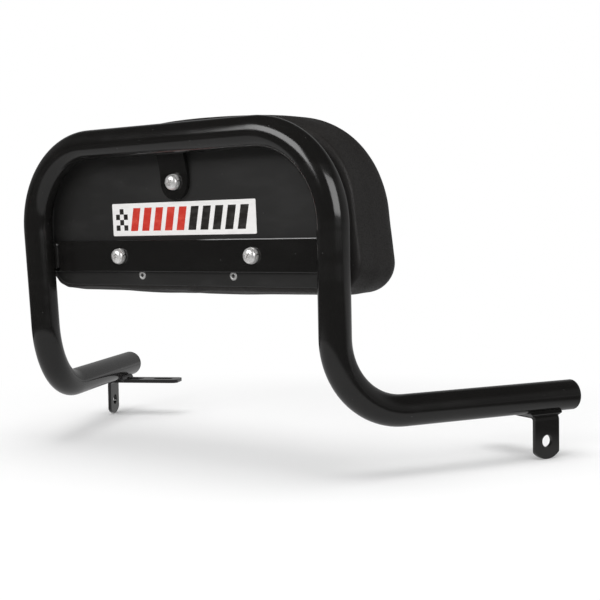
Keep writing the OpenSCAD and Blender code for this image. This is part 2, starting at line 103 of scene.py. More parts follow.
def addNode(tree, kind, inputs=None, **settings):
    # inputs are keyed by socket name or number
    node = tree.nodes.new(kind)
    node.location = (190 * len(tree.nodes), 0)
    for key, value in settings.items():
        setattr(node, key, value)
    for key, value in (inputs or {}).items():
        feed(tree, node.inputs[key], value)
    return node


def calc(tree, operation, *values):
    return addNode(tree, "ShaderNodeMath", dict(enumerate(values)), operation=operation).outputs[0]


def ramp(tree, value, low, high, toLow=0.0, toHigh=1.0, smooth=True):
    return addNode(tree, "ShaderNodeMapRange", {0: value, 1: low, 2: high, 3: toLow, 4: toHigh},
                   interpolation_type="SMOOTHSTEP" if smooth else "LINEAR").outputs[0]


def mixColour(tree, mask, a, b):
    return addNode(tree, "ShaderNodeMix", {"Factor": mask, 6: a, 7: b}, data_type="RGBA").outputs[2]


def noiseOn(tree, spot, scale, detail, roughness=0.5):
    return addNode(tree, "ShaderNodeTexNoise", {
        "Vector": spot, "Scale": scale, "Detail": detail, "Roughness": roughness}).outputs


def grey(level, warm=0.0):
    return (level * (1 + warm), level, level * (1 - warm), 1)


def newTree(family, name, inputs, outputs):
    # an input holds its kind as a word, or a default that tells its kind
    tree = bpy.data.node_groups.new(name, family + "NodeTree")
    for label, value in inputs.items():
        word = value if isinstance(value, str) else type(value).__name__.capitalize()
        socket = tree.interface.new_socket(
            name=label, in_out="INPUT", socket_type="NodeSocket" + word)
        if value != word:
            socket.default_value = value
    for label, word in outputs.items():
        tree.interface.new_socket(name=label, in_out="OUTPUT", socket_type="NodeSocket" + word)
    return tree, tree.nodes.new("NodeGroupInput").outputs, tree.nodes.new("NodeGroupOutput").inputs


def makeCoatTexture():
    # height of a sprayed or moulded skin: slow flow and fine orange peel
    tree, given, result = newTree("Shader", "coatTexture", {
        "Vector": "Vector", "Peel Scale": 900.0, "Flow Scale": 90.0, "Flow Share": 0.5},
        {"Height": "Float"})
    peel = noiseOn(tree, given["Vector"], given["Peel Scale"], 2.0, 0.45)
    flow = noiseOn(tree, given["Vector"], given["Flow Scale"], 1.0, 0.4)
    height = addNode(tree, "ShaderNodeMix", {"Factor": given["Flow Share"], "A": peel[0],
                                             "B": flow[0]})
    tree.links.new(height.outputs[0], result["Height"])
    return tree


def makeDust():
    # scattered pin points and faint smears that settle on a surface
    tree, given, result = newTree("Shader", "dustAndMarks", {
        "Vector": "Vector", "Speck Scale": 260.0, "Speck Share": 0.06, "Smear Scale": 22.0},
        {"Specks": "Float", "Smears": "Float"})
    cells = addNode(tree, "ShaderNodeTexVoronoi", {"Vector": given["Vector"],
                                                   "Scale": given["Speck Scale"]})
    chance = addNode(tree, "ShaderNodeSeparateColor", {0: cells.outputs["Color"]}).outputs[0]
    chosen = calc(tree, "LESS_THAN", chance, given["Speck Share"])
    size = ramp(tree, cells.outputs["Distance"], 0.06, 0.2, 1.0, 0.0)
    tree.links.new(calc(tree, "MULTIPLY", chosen, size), result["Specks"])
    stretch = addNode(tree, "ShaderNodeVectorMath", {0: given["Vector"], 1: (1.0, 1.0, 3.0)},
                      operation="MULTIPLY")
    smear = noiseOn(tree, stretch.outputs[0], given["Smear Scale"], 5.0, 0.6)
    tree.links.new(ramp(tree, smear[0], 0.42, 0.72), result["Smears"])
    return tree


coatTexture = makeCoatTexture()
dustAndMarks = makeDust()


def startMaterial(name):
    material = bpy.data.materials.new(name)
    material.use_nodes = True
    tree = material.node_tree
    coord = addNode(tree, "ShaderNodeTexCoord").outputs["Object"]
    return material, tree, tree.nodes["Principled BSDF"], coord


def dustOn(tree, coord, speckScale, speckShare, smearScale):
    return addNode(tree, "ShaderNodeGroup", {
        "Vector": coord, "Speck Scale": speckScale, "Speck Share": speckShare,
        "Smear Scale": smearScale}, node_tree=dustAndMarks).outputs


def specked(tree, marks, share, shade, speck):
    return mixColour(tree, calc(tree, "MULTIPLY", marks["Specks"], share), shade, speck)


def paint(tree, shader, shade, rough):
    feed(tree, shader.inputs["Base Color"], shade)
    feed(tree, shader.inputs["Roughness"], rough)


def bump(tree, shader, height, strength, distance):
    node = addNode(tree, "ShaderNodeBump", {"Strength": strength, "Distance": distance,
                                            "Height": height})
    tree.links.new(node.outputs[0], shader.inputs["Normal"])


# One entry for each finish; scales are per metre, depths in metres
finishes = {
    "powderCoat": {"colour": 0.0085, "rough": (0.14, 0.20), "peel": 1100, "flow": 55,
                   "bump": 0.16, "depth": 0.00014, "dust": 0.03, "specular": 0.5},
    "satinSheet": {"colour": 0.0175, "rough": (0.44, 0.52), "peel": 1700, "flow": 30,
                   "bump": 0.2, "depth": 0.00012, "dust": 0.03, "specular": 0.3},
    "plugPlastic": {"colour": 0.012, "rough": (0.36, 0.46), "peel": 2200, "flow": 120,
                    "bump": 0.2, "depth": 0.0001, "dust": 0.04, "specular": 0.3},
}
# a highlight is painted onto the strip's coat: a thin bright line along its upper edge, from the
# middle to the right leg
finishes["stripCoat"] = {**finishes["powderCoat"], "paintedGlint": 0.34, "edgeV": 118.18, "edgeH": 0.7,
                         "edgeFade": 0.0002, "edgeX": (0.012, 0.03)}


def makeCoat(name, warm=0.0):
    # black coat, satin sheet or plug plastic, from the numbers above, with a painted highlight on
    # the strip's coat
    look = finishes[name]
    material, tree, shader, coord = startMaterial(name)
    marks = dustOn(tree, coord, 420.0, look["dust"], 26.0)
    shade = mixColour(tree, calc(tree, "MULTIPLY", marks["Smears"], 0.3),
                      grey(look["colour"], warm), grey(look["colour"] * 1.6, warm))
    shade = specked(tree, marks, 0.5, shade, grey(0.12))
    # painted highlight: the strip's upper edge is coloured bright between the middle and the right
    # leg
    if "paintedGlint" in look:
        spot = addNode(tree, "ShaderNodeSeparateXYZ", {0: coord}).outputs
        edge = hoopPoint(0, hoop["barDepth"], look["edgeV"] - look["edgeH"]).z
        glintMask = calc(tree, "MULTIPLY", ramp(tree, spot[2], edge, edge + look["edgeFade"]),
                    ramp(tree, spot[0], *look["edgeX"]))
        shade = mixColour(tree, glintMask, shade, grey(look["paintedGlint"]))
    rough = ramp(tree, marks["Smears"], 0.0, 1.0, *look["rough"])
    paint(tree, shader, shade, calc(tree, "MULTIPLY_ADD", marks["Specks"], 0.25, rough))
    shader.inputs["Specular IOR Level"].default_value = look["specular"]
    skin = addNode(tree, "ShaderNodeGroup", {
        "Vector": coord, "Peel Scale": look["peel"], "Flow Scale": look["flow"],
        "Flow Share": 0.55}, node_tree=coatTexture).outputs
    bump(tree, shader, skin["Height"], look["bump"], look["depth"])
    return material


def makeMetal(name, tone, rough):
    # plated steel: cloudy tone, fine scratches and dull spots
    material, tree, shader, coord = startMaterial(name)
    cloud = noiseOn(tree, coord, 420.0, 4.0, 0.6)
    marks = dustOn(tree, coord, 1500.0, 0.24, 160.0)
    shade = mixColour(tree, ramp(tree, cloud[0], 0.35, 0.7), grey(tone, 0.01),
                      grey(tone * 0.72, 0.02))
    paint(tree, shader, specked(tree, marks, 0.9, shade, grey(tone * 0.15)),
          ramp(tree, marks["Smears"], 0.0, 1.0, rough, rough + 0.16))
    shader.inputs["Metallic"].default_value = 0.6
    scratches = addNode(tree, "ShaderNodeTexWave", {"Vector": coord, "Scale": 700.0,
                                                    "Distortion": 6.0, "Detail": 2.0})
    height = calc(tree, "ADD", scratches.outputs["Fac"], cloud[0])
    bump(tree, shader, height, 0.12, 0.00006)
    return material


def makeLeatherette():
    # pebbled vinyl: small cells with soft valleys that are painted darker as shade, a little dust,
    # colour that varies slowly
    material, tree, shader, coord = startMaterial("leatherette")
    warp = noiseOn(tree, coord, 240.0, 2.0)
    bent = addNode(tree, "ShaderNodeVectorMath", {0: warp["Color"], 1: (0.0012,) * 3, 2: coord},
                   operation="MULTIPLY_ADD")
    pebble = addNode(tree, "ShaderNodeTexVoronoi", {"Vector": bent.outputs[0], "Scale": 1050.0,
                                                    "Smoothness": 0.35}, feature="SMOOTH_F1")
    fine = noiseOn(tree, coord, 2600.0, 3.0)
    height = calc(tree, "MULTIPLY_ADD", fine[0], 0.3,
                  ramp(tree, pebble.outputs["Distance"], 0.12, 0.75, 1.0, 0.0))
    marks = dustOn(tree, coord, 330.0, 0.03, 14.0)
    valley = ramp(tree, pebble.outputs["Distance"], 0.3, 0.8)
    shade = mixColour(tree, marks["Smears"], (0.0170, 0.0152, 0.0142, 1),
                      (0.0225, 0.0204, 0.0190, 1))
    # painted shade: the pebbles' valleys are darkened in colour, and made rougher below
    shade = mixColour(tree, calc(tree, "MULTIPLY", valley, 0.5), shade, (0.010, 0.009, 0.0085, 1))
    rough = ramp(tree, marks["Smears"], 0.0, 1.0, 0.46, 0.58)
    paint(tree, shader, specked(tree, marks, 0.3, shade, grey(0.14)),
          calc(tree, "MULTIPLY_ADD", valley, 0.14, rough))
    shader.inputs["Specular IOR Level"].default_value = 0.3
    bump(tree, shader, height, 0.3, 0.0002)
    return material


def makePlywood():
    material, tree, shader, coord = startMaterial("plywood")
    stretch = addNode(tree, "ShaderNodeVectorMath", {0: coord, 1: (1.0, 1.0, 9.0)},
                      operation="MULTIPLY")
    grain = noiseOn(tree, stretch.outputs[0], 60.0, 6.0, 0.65)
    paint(tree, shader, mixColour(tree, ramp(tree, grain[0], 0.3, 0.7),
                                  (0.42, 0.27, 0.13, 1), (0.60, 0.42, 0.23, 1)), 0.72)
    bump(tree, shader, grain[0], 0.3, 0.0003)
    return material


def makePrinted(name, dark, light, dust, share, speck, rough):
    # film with handling marks, or ink with small gaps where the film shows through
    material, tree, shader, coord = startMaterial(name)
    marks = dustOn(tree, coord, *dust)
    shade = mixColour(tree, marks["Smears"], dark, light)
    paint(tree, shader, specked(tree, marks, share, shade, grey(speck)),
          ramp(tree, marks["Smears"], 0.0, 1.0, *rough))
    return material


def makeInk(name, dark, light):
    return makePrinted(name, dark, light, (900.0, 0.08, 90.0), 0.35, 0.7, (0.32, 0.5))


powderCoat = makeCoat("powderCoat", 0.05)
stripCoat = makeCoat("stripCoat", 0.05)
satinSheet = makeCoat("satinSheet", 0.03)
plugPlastic = makeCoat("plugPlastic")
brightZinc = makeMetal("brightZinc", 0.93, 0.28)
dullRivet = makeMetal("dullRivet", 0.58, 0.36)
leatherette = makeLeatherette()
plywood = makePlywood()
labelFilm = makePrinted("labelFilm", (0.93, 0.915, 0.90, 1), (0.86, 0.845, 0.835, 1),
                        (500.0, 0.03, 60.0), 0.5, 0.35, (0.3, 0.42))
redInk = makeInk("redInk", (0.62, 0.030, 0.016, 1), (0.72, 0.055, 0.028, 1))
blackInk = makeInk("blackInk", grey(0.012, 0.15), grey(0.028, 0.1))
print("stage: finishes made")


def newObject(name, mesh):
    piece = bpy.data.objects.new(name, mesh)
    bpy.context.scene.collection.objects.link(piece)
    return piece


def meshPiece(name, points, faces, edges=()):
    mesh = bpy.data.meshes.new(name)
    mesh.from_pydata([tuple(p) for p in points], list(edges), [tuple(f) for f in faces])
    mesh.update()
    return newObject(name, mesh)


def freeze(piece):
    # applies what modifiers the piece has, as a plain mesh
    bpy.context.view_layer.update()
    shown = piece.evaluated_get(bpy.context.evaluated_depsgraph_get())
    mesh = bpy.data.meshes.new_from_object(shown)
    piece.modifiers.clear()
    old, piece.data = piece.data, mesh
    bpy.data.meshes.remove(old)
    mesh.name = piece.name
    return piece


def faceOut(piece):
    # closed shells point outwards
    work = bmesh.new()
    work.from_mesh(piece.data)
    if work.calc_volume(signed=True) < 0:
        bmesh.ops.reverse_faces(work, faces=work.faces)
        work.to_mesh(piece.data)
    work.free()


def shadeFlats(piece, degrees):
    # smooth shading that keeps the large faces flat
    piece.data.shade_smooth()
    piece.data.set_sharp_from_angle(angle=math.radians(degrees))
    flats = piece.modifiers.new("flats", "WEIGHTED_NORMAL")
    flats.keep_sharp = True
    flats.weight = 80
    freeze(piece)


def softEdges(piece, width, degrees=35):
    # small rounds on the hard edges, then smooth shading between them
    rounding = piece.modifiers.new("rounding", "BEVEL")
    rounding.width = width * mm
    rounding.segments = 2
    rounding.limit_method = "ANGLE"
    rounding.angle_limit = math.radians(degrees)
    freeze(piece)
    shadeFlats(piece, 48)


def cutAway(piece, cutter):
    taking = piece.modifiers.new("cut", "BOOLEAN")
    taking.object = cutter
    taking.operation = "DIFFERENCE"
    taking.solver = "EXACT"
    taking.use_self = True
    freeze(piece)
    bpy.data.objects.remove(cutter)


def cutWith(piece, name, work):
    # cuts with what a bmesh holds, and frees it
    mesh = bpy.data.meshes.new(name)
    work.to_mesh(mesh)
    work.free()
    cutAway(piece, newObject(name, mesh))


def finishPiece(piece, material, slotName, *stands):
    piece.data.materials.clear()
    piece.data.materials.append(material)
    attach(piece, "root")
    if stands:
        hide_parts(*stands)
    return piece


def newShapeTree(name, inputs):
    tree, given, result = newTree("Geometry", name, {
        "Geometry": "Geometry", **inputs, "Finish": "Material"}, {"Geometry": "Geometry"})
    tree.is_modifier = True
    return tree, given, result


def leanOnto(tree, given, shape):
    # leans what was made upright onto the hoop
    turn = addNode(tree, "ShaderNodeCombineXYZ", {0: given["Lean"]})
    return addNode(tree, "GeometryNodeTransform", {
        "Geometry": shape.outputs[0], "Translation": given["Place"], "Rotation": turn.outputs[0]})


def coatOut(tree, given, result, shape):
    coat = addNode(tree, "GeometryNodeSetMaterial", {"Geometry": shape.outputs[0],
                                                     "Material": given["Finish"]})
    tree.links.new(coat.outputs[0], result["Geometry"])
    return tree


def runTree(carrier, tree, values):
    # sets the tree's inputs by identifier, bakes the result and drops the modifier
    maker = carrier.modifiers.new("maker", "NODES")
    maker.node_group = tree
    sockets = {s.name: s.identifier for s in tree.interface.items_tree if s.in_out == "INPUT"}
    for label, value in values.items():
        maker[sockets[label]] = value
    return freeze(carrier)


# Bent tube: a polyline with a bend radius at each corner, filleted and swept
def makeBentTubeTree():
    tree, given, result = newShapeTree("bentTube", {"Radius": 0.011, "Around": 48,
                                                    "Bend Steps": 20})
    line = addNode(tree, "GeometryNodeMeshToCurve", {"Mesh": given["Geometry"]})
    bendR = addNode(tree, "GeometryNodeInputNamedAttribute", {"Name": "bendR"}, data_type="FLOAT")
    # "Count" is the number of steps in each bend
    bends = addNode(tree, "GeometryNodeFilletCurve", {
        "Curve": line.outputs[0], "Count": given["Bend Steps"], "Radius": bendR.outputs[0]},
        mode="POLY")
    ring = addNode(tree, "GeometryNodeCurvePrimitiveCircle", {"Resolution": given["Around"],
                                                              "Radius": given["Radius"]})
    skin = addNode(tree, "GeometryNodeCurveToMesh", {
        "Curve": bends.outputs[0], "Profile Curve": ring.outputs[0], "Fill Caps": False})
    smooth = addNode(tree, "GeometryNodeSetShadeSmooth", {0: skin.outputs[0]})
    real = addNode(tree, "GeometryNodeRealizeInstances", {0: smooth.outputs[0]})
    return coatOut(tree, given, result, real)


def makeHoopTube():
    end = [armPoint(s, 0, hoop["armLength"], 0) for s in (1, -1)]
    bottom = [armPoint(s, 0, 0, 0) for s in (1, -1)]
    top = [Vector((s * hoop["topSpacing"] / 2, crownY, hoop["height"])) * mm + place
           for s in (1, -1)]
    corners = [end[0], bottom[0], top[0], top[1], bottom[1], end[1]]
    bends = [0, hoop["footBendR"], hoop["topBendR"], hoop["topBendR"], hoop["footBendR"], 0]
    line = meshPiece("hoopTube", corners, [], [(i, i + 1) for i in range(5)])
    radii = line.data.attributes.new("bendR", "FLOAT", "POINT")
    radii.data.foreach_set("value", [b * mm for b in bends])
    tube = runTree(line, makeBentTubeTree(), {
        "Radius": tubeR * mm, "Around": hoop["around"], "Bend Steps": hoop["bendSteps"],
        "Finish": powderCoat})
    wall = tube.modifiers.new("wall", "SOLIDIFY")
    wall.thickness = hoop["wall"] * mm
    wall.offset = -1
    freeze(tube)
    faceOut(tube)
    tube.data.shade_smooth()
    tube.data.set_sharp_from_angle(angle=math.radians(50))
    return finishPiece(tube, powderCoat, "frame", "frame_tube")


hoopTube = makeHoopTube()
print("stage: bent tube made,", len(hoopTube.data.polygons), "faces")

# Flat bars, brackets and plugs: the node's own shape with its edges softened
bars = {
    "crossStrip": ("cross_strip", stripCoat, "frame", 0.4),
    "upperLug": ("upper_lug", powderCoat, "frame", 0.35),
    "leftBracket": ("left_bracket", powderCoat, "frame", 0.45),
    "rightBracket": ("right_bracket", powderCoat, "frame", 0.45),
    "leftEndPlug": ("left_end_plug", plugPlastic, "plug", 0.12),
    "rightEndPlug": ("right_end_plug", plugPlastic, "plug", 0.12),
    "leftWasher": ("left_washer", brightZinc, "zinc", 0.12),
    "rightWasher": ("right_washer", brightZinc, "zinc", 0.12),
    "upperWasher": ("upper_washer", brightZinc, "zinc", 0.12),
}

# The lug's weld lies behind its outer face, which kicks back to the tube from the screw upwards
lug = {
    "middleX": -5.5,
    "kickFrom": 166.18,
    "kickTo": 184,
    "kick": 12,
    "clear": 20,
}


def mergeFlats(piece):
    work = bmesh.new()
    work.from_mesh(piece.data)
    bmesh.ops.remove_doubles(work, verts=work.verts, dist=2e-6)
    bmesh.ops.dissolve_limit(work, angle_limit=math.radians(0.6), verts=work.verts,
                             edges=work.edges)
    work.to_mesh(piece.data)
    work.free()


def beadCutter():
    # all that stands out in front of the lug's upper half
    face, low, high, clear = hoop["barDepth"], lug["kickFrom"], lug["kickTo"], lug["clear"]
    top = face - (high - low) * math.tan(math.radians(lug["kick"]))
    side = [(face, low), (top, high), (top - clear, high), (face - clear, low)]
    points = [hoopPoint(lug["middleX"] + x, *spot) for x in (-clear, clear) for spot in side]
    faces = [(3, 2, 1, 0), (4, 5, 6, 7)]
    faces += [(i, (i + 1) % 4, (i + 1) % 4 + 4, i + 4) for i in range(4)]
    cutter = meshPiece("beadCutter", points, faces)
    faceOut(cutter)
    return cutter


def softCopy(name, node, width):
    piece = newObject(name, cadNodes[node].data.copy())
    mergeFlats(piece)
    if node == "upper_lug":
        cutAway(piece, beadCutter())
        mergeFlats(piece)
    softEdges(piece, width)
    return piece


for name, (node, material, slotName, width) in bars.items():
    finishPiece(softCopy(name, node, width), material, slotName, node)
print("stage: bars, brackets and plugs softened")

# Weld ripples: flattened drops strung along each seam
welds = {
    "radius": 2.0,
    "step": 1.2,
    "squash": 0.5,
    "wobble": 0.1,
    "seed": 4,
    "stripV": 106.18,
    "stripW": 24,
    "stripEnd": 3.4,  # how far its seams stop short of its edges
    "sunk": 0.7,  # share of the radius that lies in the tube
    "bracketAt": 170,
    "bracketW": 22,
    "footIn": 0.86,
    "footRise": 0.9,
}


def makeWeldTree():
    tree, given, result = newShapeTree("weldRipples", {
        "Radius": 0.003, "Step": 0.0015, "Squash": 0.4, "Wobble": 0.1, "Seed": 1})
    line = addNode(tree, "GeometryNodeMeshToCurve", {"Mesh": given["Geometry"]})
    steps = addNode(tree, "GeometryNodeResampleCurve", {"Curve": line.outputs[0],
                                                        "Length": given["Step"]}, mode="LENGTH")
    drop = addNode(tree, "GeometryNodeMeshUVSphere", {"Segments": 14, "Rings": 8,
                                                      "Radius": given["Radius"]})
    tangent = addNode(tree, "GeometryNodeInputTangent")
    turn = addNode(tree, "FunctionNodeAlignRotationToVector", {"Vector": tangent.outputs[0]},
                   axis="Z")
    least = calc(tree, "SUBTRACT", 1.0, given["Wobble"])
    most = calc(tree, "ADD", 1.0, given["Wobble"])
    size = addNode(tree, "FunctionNodeRandomValue", {2: least, 3: most,
                                                     "Seed": given["Seed"]}).outputs[1]
    flat = calc(tree, "MULTIPLY", size, given["Squash"])
    scale = addNode(tree, "ShaderNodeCombineXYZ", {0: size, 1: size, 2: flat})
    drops = addNode(tree, "GeometryNodeInstanceOnPoints", {
        "Points": steps.outputs[0], "Instance": drop.outputs[0], "Rotation": turn.outputs[0],
        "Scale": scale.outputs[0]})
    real = addNode(tree, "GeometryNodeRealizeInstances", {0: drops.outputs[0]})
    smooth = addNode(tree, "GeometryNodeSetShadeSmooth", {0: real.outputs[0]})
    return coatOut(tree, given, result, smooth)


def makeWelds():
    seams = []
    low, high = (welds["stripV"] + s * (welds["stripW"] / 2 - welds["stripEnd"]) for s in (-1, 1))
    beadIn = math.sqrt(tubeR ** 2 - (tubeR - welds["radius"] * welds["sunk"]) ** 2)
    footIn, under = beadIn * welds["footIn"], -tubeR + welds["footRise"]
    ends = [welds["bracketAt"] + a * welds["bracketW"] / 2 for a in (-1, 1)]
    for side in (-1, 1):
        seams.append([hoopPoint(side * (legX(v) - beadIn), hoop["barDepth"], v)
                      for v in (low, high)])
        # along both sides of each arm's foot on its plate
        for out in (-footIn, footIn):
            seams.append([armPoint(side, out, end, under) for end in ends])
        # and across the plate's two edges, so that the weld goes all round
        for end in ends:
            seams.append([armPoint(side, out, end, under) for out in (-footIn, footIn)])
    points = [p for seam in seams for p in seam]
    line = meshPiece("weldRipples", points, [], [(2 * i, 2 * i + 1) for i in range(len(seams))])
    ripples = runTree(line, makeWeldTree(), {
        "Radius": welds["radius"] * mm, "Step": welds["step"] * mm, "Squash": welds["squash"],
        "Wobble": welds["wobble"], "Seed": welds["seed"], "Finish": powderCoat})
    return finishPiece(ripples, powderCoat, "frame")


makeWelds()
print("stage: welds made")

# Cushion and back plate, on one outline of arcs that meet tangentially
pad = {
    "halfW": 146.8,
    "backH": 122.5,
    "backOver": 11,
    # corner radii at the back edge and at full thickness
    "lowCornerR": (23, 17),
    "topCornerR": (58, 70),
    "crownRise": 0.9,
    "baseRise": 1.5,
    "backWide": 3.5,
    "fullDepth": 30,
    "crownR": 700,
    "sideLean": 5,
    "plateBack": 14.15,
    "plateFront": 15.65,
    "plateInset": 4,
    "plateEdgeR": 1.2,
    "depth": 60,
    "swell": 4,
    "backEdgeR": 5,
    "frontEdgeR": 19,
    "crown": 5,
    "cornerSteps": 26,
    "topSteps": 44,
    "sideSteps": 18,
    "baseSteps": 72,
    "swellSpan": 21.0,
    "swellPower": 1.25,
    "ringStep": 3,
    # the front's rings, each smaller by a share, and the flat in their middle
    "faceRings": 27,
    "faceStep": 0.037,
    "faceFlat": 0.4,
}
padTop = hoopTop + pad["backOver"]
padBottom = padTop - pad["backH"]
padMiddle = (padTop + padBottom) / 2
padFront = pad["plateBack"] + pad["depth"]


def arcPoints(centre, radius, start, end, steps):
    turns = [start + (end - start) * i / steps for i in range(steps + 1)]
    return [(centre[0] + radius * math.cos(a), centre[1] + radius * math.sin(a)) for a in turns]


def straight(a, b, steps):
    # the inner points of a line
    return [(a[0] + (b[0] - a[0]) * i / steps, a[1] + (b[1] - a[1]) * i / steps)
            for i in range(1, steps)]


def outline(grow, full=0.0):
    # right side upwards, over the arched top and down the mirrored left side; full runs from the
    # back edge's shape, 0, to the shape at full thickness, 1
    lowR, topR = (a + (b - a) * full for a, b in (pad["lowCornerR"], pad["topCornerR"]))
    lean = math.radians(pad["sideLean"])
    low = (pad["halfW"] - lowR, padBottom + pad["baseRise"] * full + lowR)
    crownV = padTop + pad["crownRise"] * full - pad["crownR"]
    reach = low[0] * math.cos(lean) + (low[1] - crownV) * math.sin(lean) + lowR - topR
    far = pad["crownR"] - topR
    turn = lean + math.acos(reach / far)
    top = (far * math.cos(turn), crownV + far * math.sin(turn))
    lowArc = arcPoints(low, lowR + grow, -math.pi / 2, lean, pad["cornerSteps"])
    topArc = arcPoints(top, topR + grow, lean, turn, pad["cornerSteps"])
    right = lowArc + straight(lowArc[-1], topArc[0], pad["sideSteps"]) + topArc
    over = arcPoints((0, crownV), pad["crownR"] + grow, turn, math.pi - turn, pad["topSteps"])
    left = [(-x, v) for x, v in reversed(right)]
    return right + over[1:-1] + left + straight(left[-1], right[0], pad["baseSteps"])


def roundedEdge(depth, radius, grow, steps):
    # rings from a flat at that depth round to the side, as (depth, growth, size)
    turns = [math.pi / 2 * (1 - i / steps) for i in range(steps + 1)]
    return [(depth + radius * (1 - math.sin(a)), grow - radius * (1 - math.cos(a)), 1)
            for a in turns]


def cushionRings():
    rings = roundedEdge(pad["plateFront"], pad["backEdgeR"], 0, 6)
    # sides that swell smoothly to their full width
    start, swell, edgeR = rings[-1][0], pad["swell"], pad["frontEdgeR"]
    for i in range(1, 8):
        t = i / 7
        rings.append((start + pad["swellSpan"] * t,
                      swell * math.sin(t * math.pi / 2) ** pad["swellPower"], 1))
    edge = padFront - edgeR
    while rings[-1][0] + pad["ringStep"] < edge:
        rings.append((rings[-1][0] + pad["ringStep"], swell, 1))
    for i in range(10):
        a = math.pi / 2 * i / 10
        rings.append((edge + edgeR * math.sin(a), swell - edgeR * (1 - math.cos(a)), 1))
    flat = pad["faceFlat"]
    for i in range(pad["faceRings"]):
        size = 1 - i * pad["faceStep"]
        fall = ((size - flat) / (1 - flat)) ** 2 if size > flat else 0
        rings.append((padFront + pad["crown"] * (1 - fall), swell - edgeR, size))
    return rings


def innerRings(first):
    # the flat behind the first ring, drawn in towards the middle
    return [(first[0], first[1], 1 - i * 0.09) for i in range(10, 0, -1)]


def loftMesh(rings):
    # points and faces of a closed skin through the rings, in the hoop's own place
    loops = []
    for depth, grow, size in rings:
        full = min(1, max(0, (depth - pad["plateFront"]) / pad["fullDepth"]))
        full = full * full * (3 - 2 * full)
        # the cover bulges sideways just in front of the plate, until the swell has taken over
        behind = depth - pad["plateFront"]
        wide = min(1, max(0, behind / 2)) * max(0, pad["backWide"] - max(0, grow))
        wide = wide if behind < pad["fullDepth"] - 5 else 0
        stretch = size * (1 + wide / pad["halfW"])
        loops.append([(x * stretch, depth, padMiddle + (v - padMiddle) * size)
                      for x, v in outline(grow, full)])
    n, m = len(loops[0]), len(loops)
    points = [p for loop in loops for p in loop]
    faces = [(k * n + i, k * n + (i + 1) % n, (k + 1) * n + (i + 1) % n, (k + 1) * n + i)
             for k in range(m - 1) for i in range(n)]
    # the two ends are closed by rungs across, so that no face has many corners
    last = (m - 1) * n
    for i in range(n // 2 - 1):
        a, b, c, d = i, i + 1, n - 2 - i, n - 1 - i
        faces.append((d, c, b, a))
        faces.append((last + a, last + b, last + c, last + d))
    return np.array(points), faces


def placed(points):
    return [hoopPoint(*p) for p in points]


# What the cloth run is given, and the marks left by sewing
sewing = {
    "voxel": 4.5,
    "shrink": 1.6,
    "pressure": 4.0,
    "frames": 20,
    "cap": 6.0,
    "share": 0.3,
    "gatherDepth": 0.28,
    "gatherPitch": 8.5,
    "gatherReach": 17,
    "seamX": -5.5,
    "seamDepth": 0.8,
    "bulgeH": 1.6,
    # where the lower edge is drawn up between the corner and the seam
    "hemX": -95,
    "hemHalfW": 34,
    "hemRise": 1.8,
    "hemH": 20,
    # of the cloth: stiffness, and how far from the back it is held fully and half
    "stiffness": 18,
    "bending": 1.2,
    "held": (1, 4),
    # slow and fine unevenness of the foam
    "uneven": (0.55, 0.16),
}


def swellByCloth(points, faces):
    # blows up a slightly smaller remeshed copy; gives its points and how far each one moves
    middle = np.array([0, (pad["plateFront"] + padFront) / 2, padMiddle])
    small = points - middle
    reach = np.linalg.norm(small * [0.6, 1, 1], axis=1, keepdims=True)
    small = middle + small * (1 - sewing["shrink"] / np.maximum(reach, 20))
    balloon = meshPiece("clothTrial", placed(small), faces)
    remesh = balloon.modifiers.new("evenSkin", "REMESH")
    remesh.mode = "VOXEL"
    remesh.voxel_size = sewing["voxel"] * mm
    freeze(balloon)
    start = np.array([v.co for v in balloon.data.vertices])
    backDepth = (pad["plateFront"] + 1.5) * mm
    fully, half = (h * mm for h in sewing["held"])
    held = balloon.vertex_groups.new(name="held")
    normal = Vector((0, math.cos(leanTurn), math.sin(leanTurn)))
    for vertex in balloon.data.vertices:
        depth = (vertex.co - place).dot(normal)
        if depth < backDepth + half:
            held.add([vertex.index], 1.0 if depth < backDepth + fully else 0.5, "REPLACE")
    cloth = balloon.modifiers.new("cloth", "CLOTH")
    settings = cloth.settings
    settings.vertex_group_mass = "held"
    settings.use_pressure = True
    settings.uniform_pressure_force = sewing["pressure"]
    settings.effector_weights.gravity = 0
    settings.tension_stiffness = settings.compression_stiffness = sewing["stiffness"]
    settings.bending_stiffness = sewing["bending"]
    settings.quality = 6
    cloth.point_cache.frame_start = 1
    cloth.point_cache.frame_end = sewing["frames"]
    scene = bpy.context.scene
    for step in range(1, sewing["frames"] + 1):
        scene.frame_set(step)
    end = np.array([v.co for v in balloon.evaluated_get(
        bpy.context.evaluated_depsgraph_get()).data.vertices])
    scene.frame_set(1)
    bpy.data.objects.remove(balloon)
    move = end - start
    far = np.linalg.norm(move, axis=1, keepdims=True)
    cap = sewing["cap"] * mm
    return start, move * np.minimum(1, cap / np.maximum(far, 1e-9))


def spreadMove(points, start, move):
    # carries the cloth's movement over to the fine skin, as a mean of the nearest points
    tree = KDTree(len(start))
    for i, p in enumerate(start):
        tree.insert(p, i)
    tree.balance()
    out = np.zeros((len(points), 3))
    for i, p in enumerate(points):
        near = tree.find_n(p, 10)
        weight = np.array([1 / (d + 0.002) for _, _, d in near])
        out[i] = (move[[j for _, j, _ in near]] * weight[:, None]).sum(0) / weight.sum()
    return out


